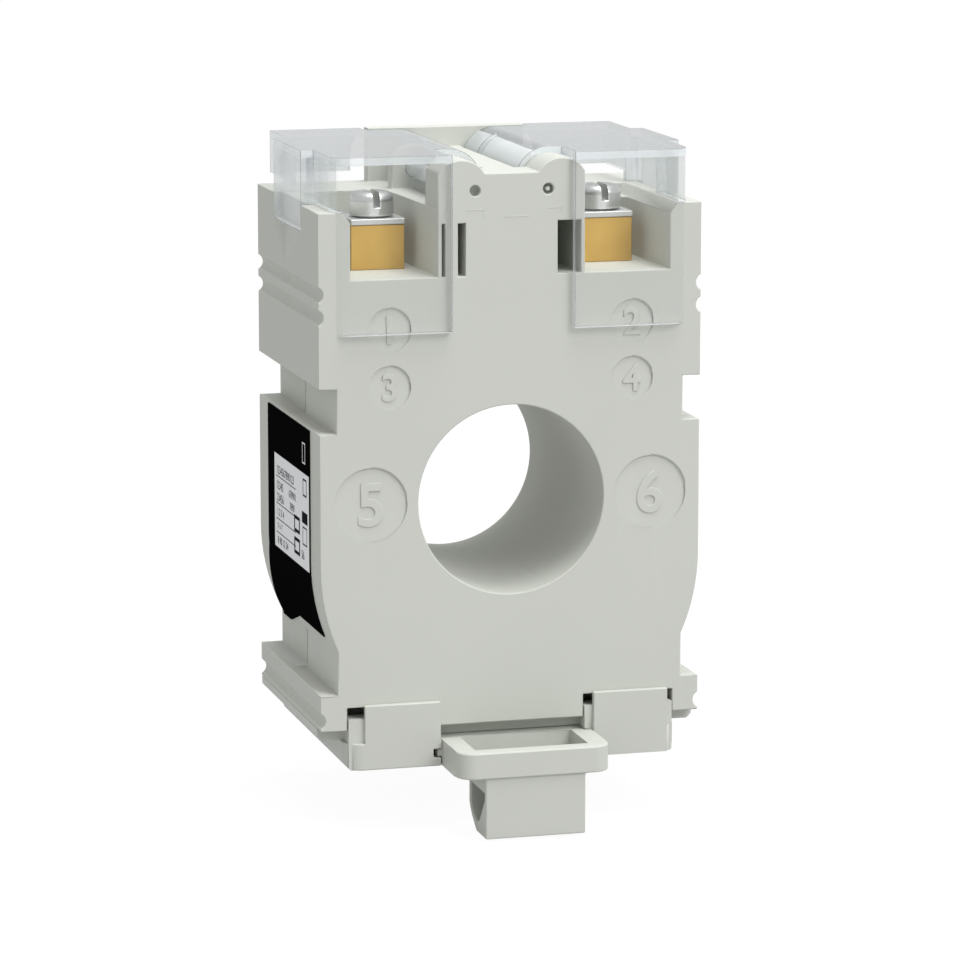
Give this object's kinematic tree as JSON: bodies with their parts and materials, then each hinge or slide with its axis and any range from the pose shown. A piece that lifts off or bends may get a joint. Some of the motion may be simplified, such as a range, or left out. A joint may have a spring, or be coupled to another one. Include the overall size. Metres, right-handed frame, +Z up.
{
  "type": "current transformer",
  "caption": "Ring-type current transformer in a flat housing with a round window, two screw terminals under hinged clear covers, and a rail clip with a sprung latch.",
  "frame": {"origin": "On the window axis, in the plane of the front face.", "axes": "+Y runs along the window axis from the front face to the back face, +Z points up to the terminals, +X points to the right seen from the front."},
  "size_m": [0.0442, 0.0423, 0.076],
  "materials": {
    "housing": "light grey moulded plastic, fine matt grain",
    "base_plastic": "light grey moulded plastic, slightly smoother than the housing",
    "core_steel": "silicon steel strip wound edge to edge",
    "cap_plastic": "blue moulded insulating cap",
    "copper": "enamelled copper wire",
    "tape": "yellow polyester film tape",
    "lead_sleeve": "red insulating sleeve",
    "brass": "sawn and tumbled brass",
    "steel": "zinc plated steel, turned",
    "clear_plastic": "clear polycarbonate, polished mould faces",
    "label": "black printed film with a pale panel"
  },
  "bodies": {
    "housing": {"front_shell": "housing", "rear_shell": "housing", "core": "core_steel", "core_cap_front": "cap_plastic", "core_cap_rear": "cap_plastic", "winding": "copper", "winding_tape": "tape", "lead_left": "lead_sleeve", "lead_right": "lead_sleeve", "terminal_left": "brass", "terminal_right": "brass", "rail_base": "base_plastic", "label": "label"},
    "clamp_left": {"clamp_plate_left": "steel"},
    "clamp_right": {"clamp_plate_right": "steel"},
    "screw_left": {"screw_left": "steel"},
    "screw_right": {"screw_right": "steel"},
    "cover_left": {"cover_left": "clear_plastic"},
    "cover_right": {"cover_right": "clear_plastic"},
    "latch": {"rail_latch": "base_plastic"}
  },
  "joints": [
    {"name": "cover_left_hinge", "type": "hinge", "parent": "housing", "child": "cover_left", "pos_m": [-0.00575, 0.015, 0.0351], "axis": [0, 1, 0], "range_deg": [0, 90]},
    {"name": "cover_right_hinge", "type": "hinge", "parent": "housing", "child": "cover_right", "pos_m": [0.00575, 0.015, 0.0351], "axis": [0, -1, 0], "range_deg": [0, 90]},
    {"name": "latch_slide", "type": "slide", "parent": "housing", "child": "latch", "axis": [0, -1, 0], "range_m": [0, 0.0035], "stiffness_N_per_m": 300},
    {"name": "clamp_left_lift", "type": "slide", "parent": "housing", "child": "clamp_left", "axis": [0, 0, 1], "range_m": [0, 0.0015]},
    {"name": "clamp_right_lift", "type": "slide", "parent": "housing", "child": "clamp_right", "axis": [0, 0, 1], "range_m": [0, 0.0015]},
    {"name": "screw_left_turn", "type": "hinge", "parent": "clamp_left", "child": "screw_left", "pos_m": [-0.0133, 0.0109, 0.033], "axis": [0, 0, 1], "range_deg": [0, 1080]},
    {"name": "screw_right_turn", "type": "hinge", "parent": "clamp_right", "child": "screw_right", "pos_m": [0.0133, 0.0109, 0.033], "axis": [0, 0, 1], "range_deg": [0, 1080]}
  ],
  "couplings": [
    {"joint": "screw_left_turn", "follows": "clamp_left_lift", "rad_per_m": 12566},
    {"joint": "screw_right_turn", "follows": "clamp_right_lift", "rad_per_m": 12566}
  ]
}
